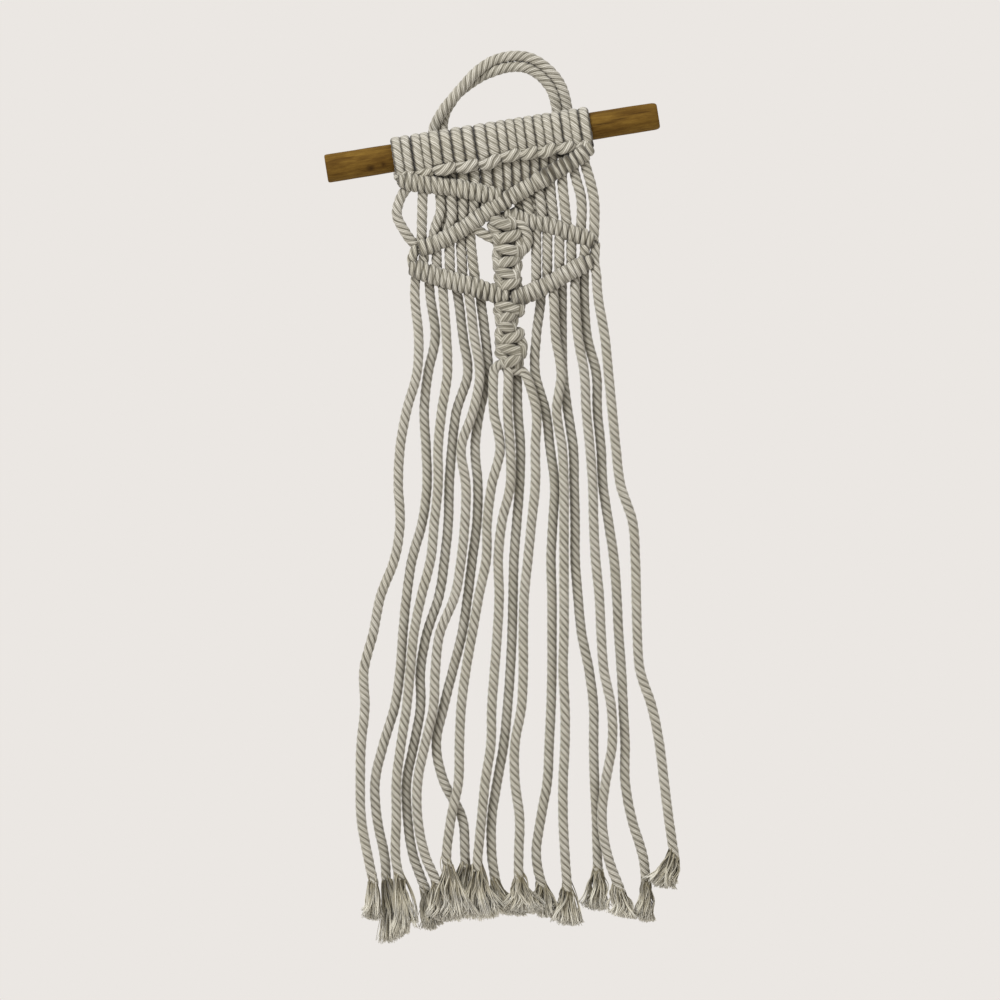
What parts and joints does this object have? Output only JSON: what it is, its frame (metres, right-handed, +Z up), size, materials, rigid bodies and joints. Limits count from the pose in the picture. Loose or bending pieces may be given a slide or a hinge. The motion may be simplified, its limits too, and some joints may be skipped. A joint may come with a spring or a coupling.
{
  "type": "macrame wall hanging on wooden dowel",
  "caption": "Wall hanging of knotted cotton cord: a small panel of bars and square knots on a tilted wooden rod, with a long fringe below and a doubled hanging loop above.",
  "frame": {"origin": "under the top of the hanging loop, where a nail or hook holds it", "axes": "+Z up, -Y out of the wall towards the viewer, +X to the viewer's right"},
  "size_m": [0.1916, 0.0338, 0.4824],
  "materials": {
    "dowel_wood": "stained, matt",
    "cotton_cord": "matt twisted cotton, natural grey-cream"
  },
  "bodies": {
    "root": {"dowel": "dowel_wood", "hanging_cord": "cotton_cord", "macrame": "cotton_cord"}
  },
  "joints": []
}
